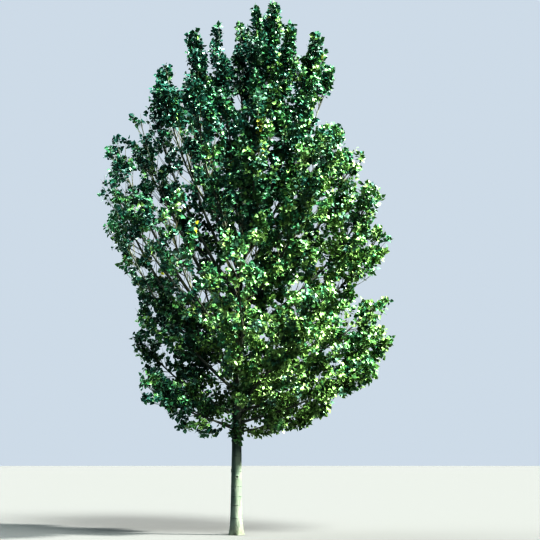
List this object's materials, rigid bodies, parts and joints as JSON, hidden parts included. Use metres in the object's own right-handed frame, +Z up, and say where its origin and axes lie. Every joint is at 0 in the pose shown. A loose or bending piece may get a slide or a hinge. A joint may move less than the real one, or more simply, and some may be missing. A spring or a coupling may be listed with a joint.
{
  "type": "poplar tree",
  "caption": "Young poplar tree in summer leaf: a straight tapering trunk, steeply rising boughs and a tall open crown of broad leaves ending in pointed spires.",
  "frame": {"origin": "centre of the flat cut under the trunk at ground level", "axes": "+Z up along the trunk, +X to the right of the view from the front, +Y away from it"},
  "size_m": [7.0708, 7.1147, 12.48],
  "materials": {
    "trunk_bark": "matt grey-green bark with faint dark bands",
    "limb_bark": "smooth matt grey-green young bark",
    "foliage": "slightly glossy broad leaves on thin twigs"
  },
  "bodies": {
    "root": {"back_1_foliage": "foliage", "back_2_foliage": "foliage", "back_3_foliage": "foliage", "back_4_bough": "limb_bark", "back_4_foliage": "foliage", "back_5_bough": "limb_bark", "back_5_foliage": "foliage", "back_6_foliage": "foliage", "back_7_foliage": "foliage", "back_8_foliage": "foliage", "back_9_foliage": "foliage", "front_1_foliage": "foliage", "front_2_foliage": "foliage", "front_3_foliage": "foliage", "front_4_foliage": "foliage", "front_5_bough": "limb_bark", "front_5_foliage": "foliage", "front_6_bough": "limb_bark", "front_6_foliage": "foliage", "front_7_foliage": "foliage", "front_8_foliage": "foliage", "front_9_foliage": "foliage", "leader_foliage": "foliage", "left_arm_bough": "limb_bark", "left_arm_foliage": "foliage", "left_far_bough": "limb_bark", "left_far_foliage": "foliage", "left_high_bough": "limb_bark", "left_high_foliage": "foliage", "left_low_foliage": "foliage", "left_shoulder_bough": "limb_bark", "left_shoulder_foliage": "foliage", "left_side_bough": "limb_bark", "left_side_foliage": "foliage", "left_skirt_foliage": "foliage", "left_spire_bough": "limb_bark", "left_spire_foliage": "foliage", "right_arm_bough": "limb_bark", "right_arm_foliage": "foliage", "right_far_bough": "limb_bark", "right_far_foliage": "foliage", "right_hem_foliage": "foliage", "right_high_bough": "limb_bark", "right_high_foliage": "foliage", "right_low_bough": "limb_bark", "right_low_foliage": "foliage", "right_shoulder_bough": "limb_bark", "right_shoulder_foliage": "foliage", "right_side_bough": "limb_bark", "right_side_foliage": "foliage", "right_skirt_foliage": "foliage", "right_spire_bough": "limb_bark", "right_spire_foliage": "foliage", "top_back_foliage": "foliage", "top_front_foliage": "foliage", "top_left_foliage": "foliage", "top_right_foliage": "foliage", "trunk": "trunk_bark", "upper_left_foliage": "foliage", "upper_right_foliage": "foliage"}
  },
  "joints": []
}
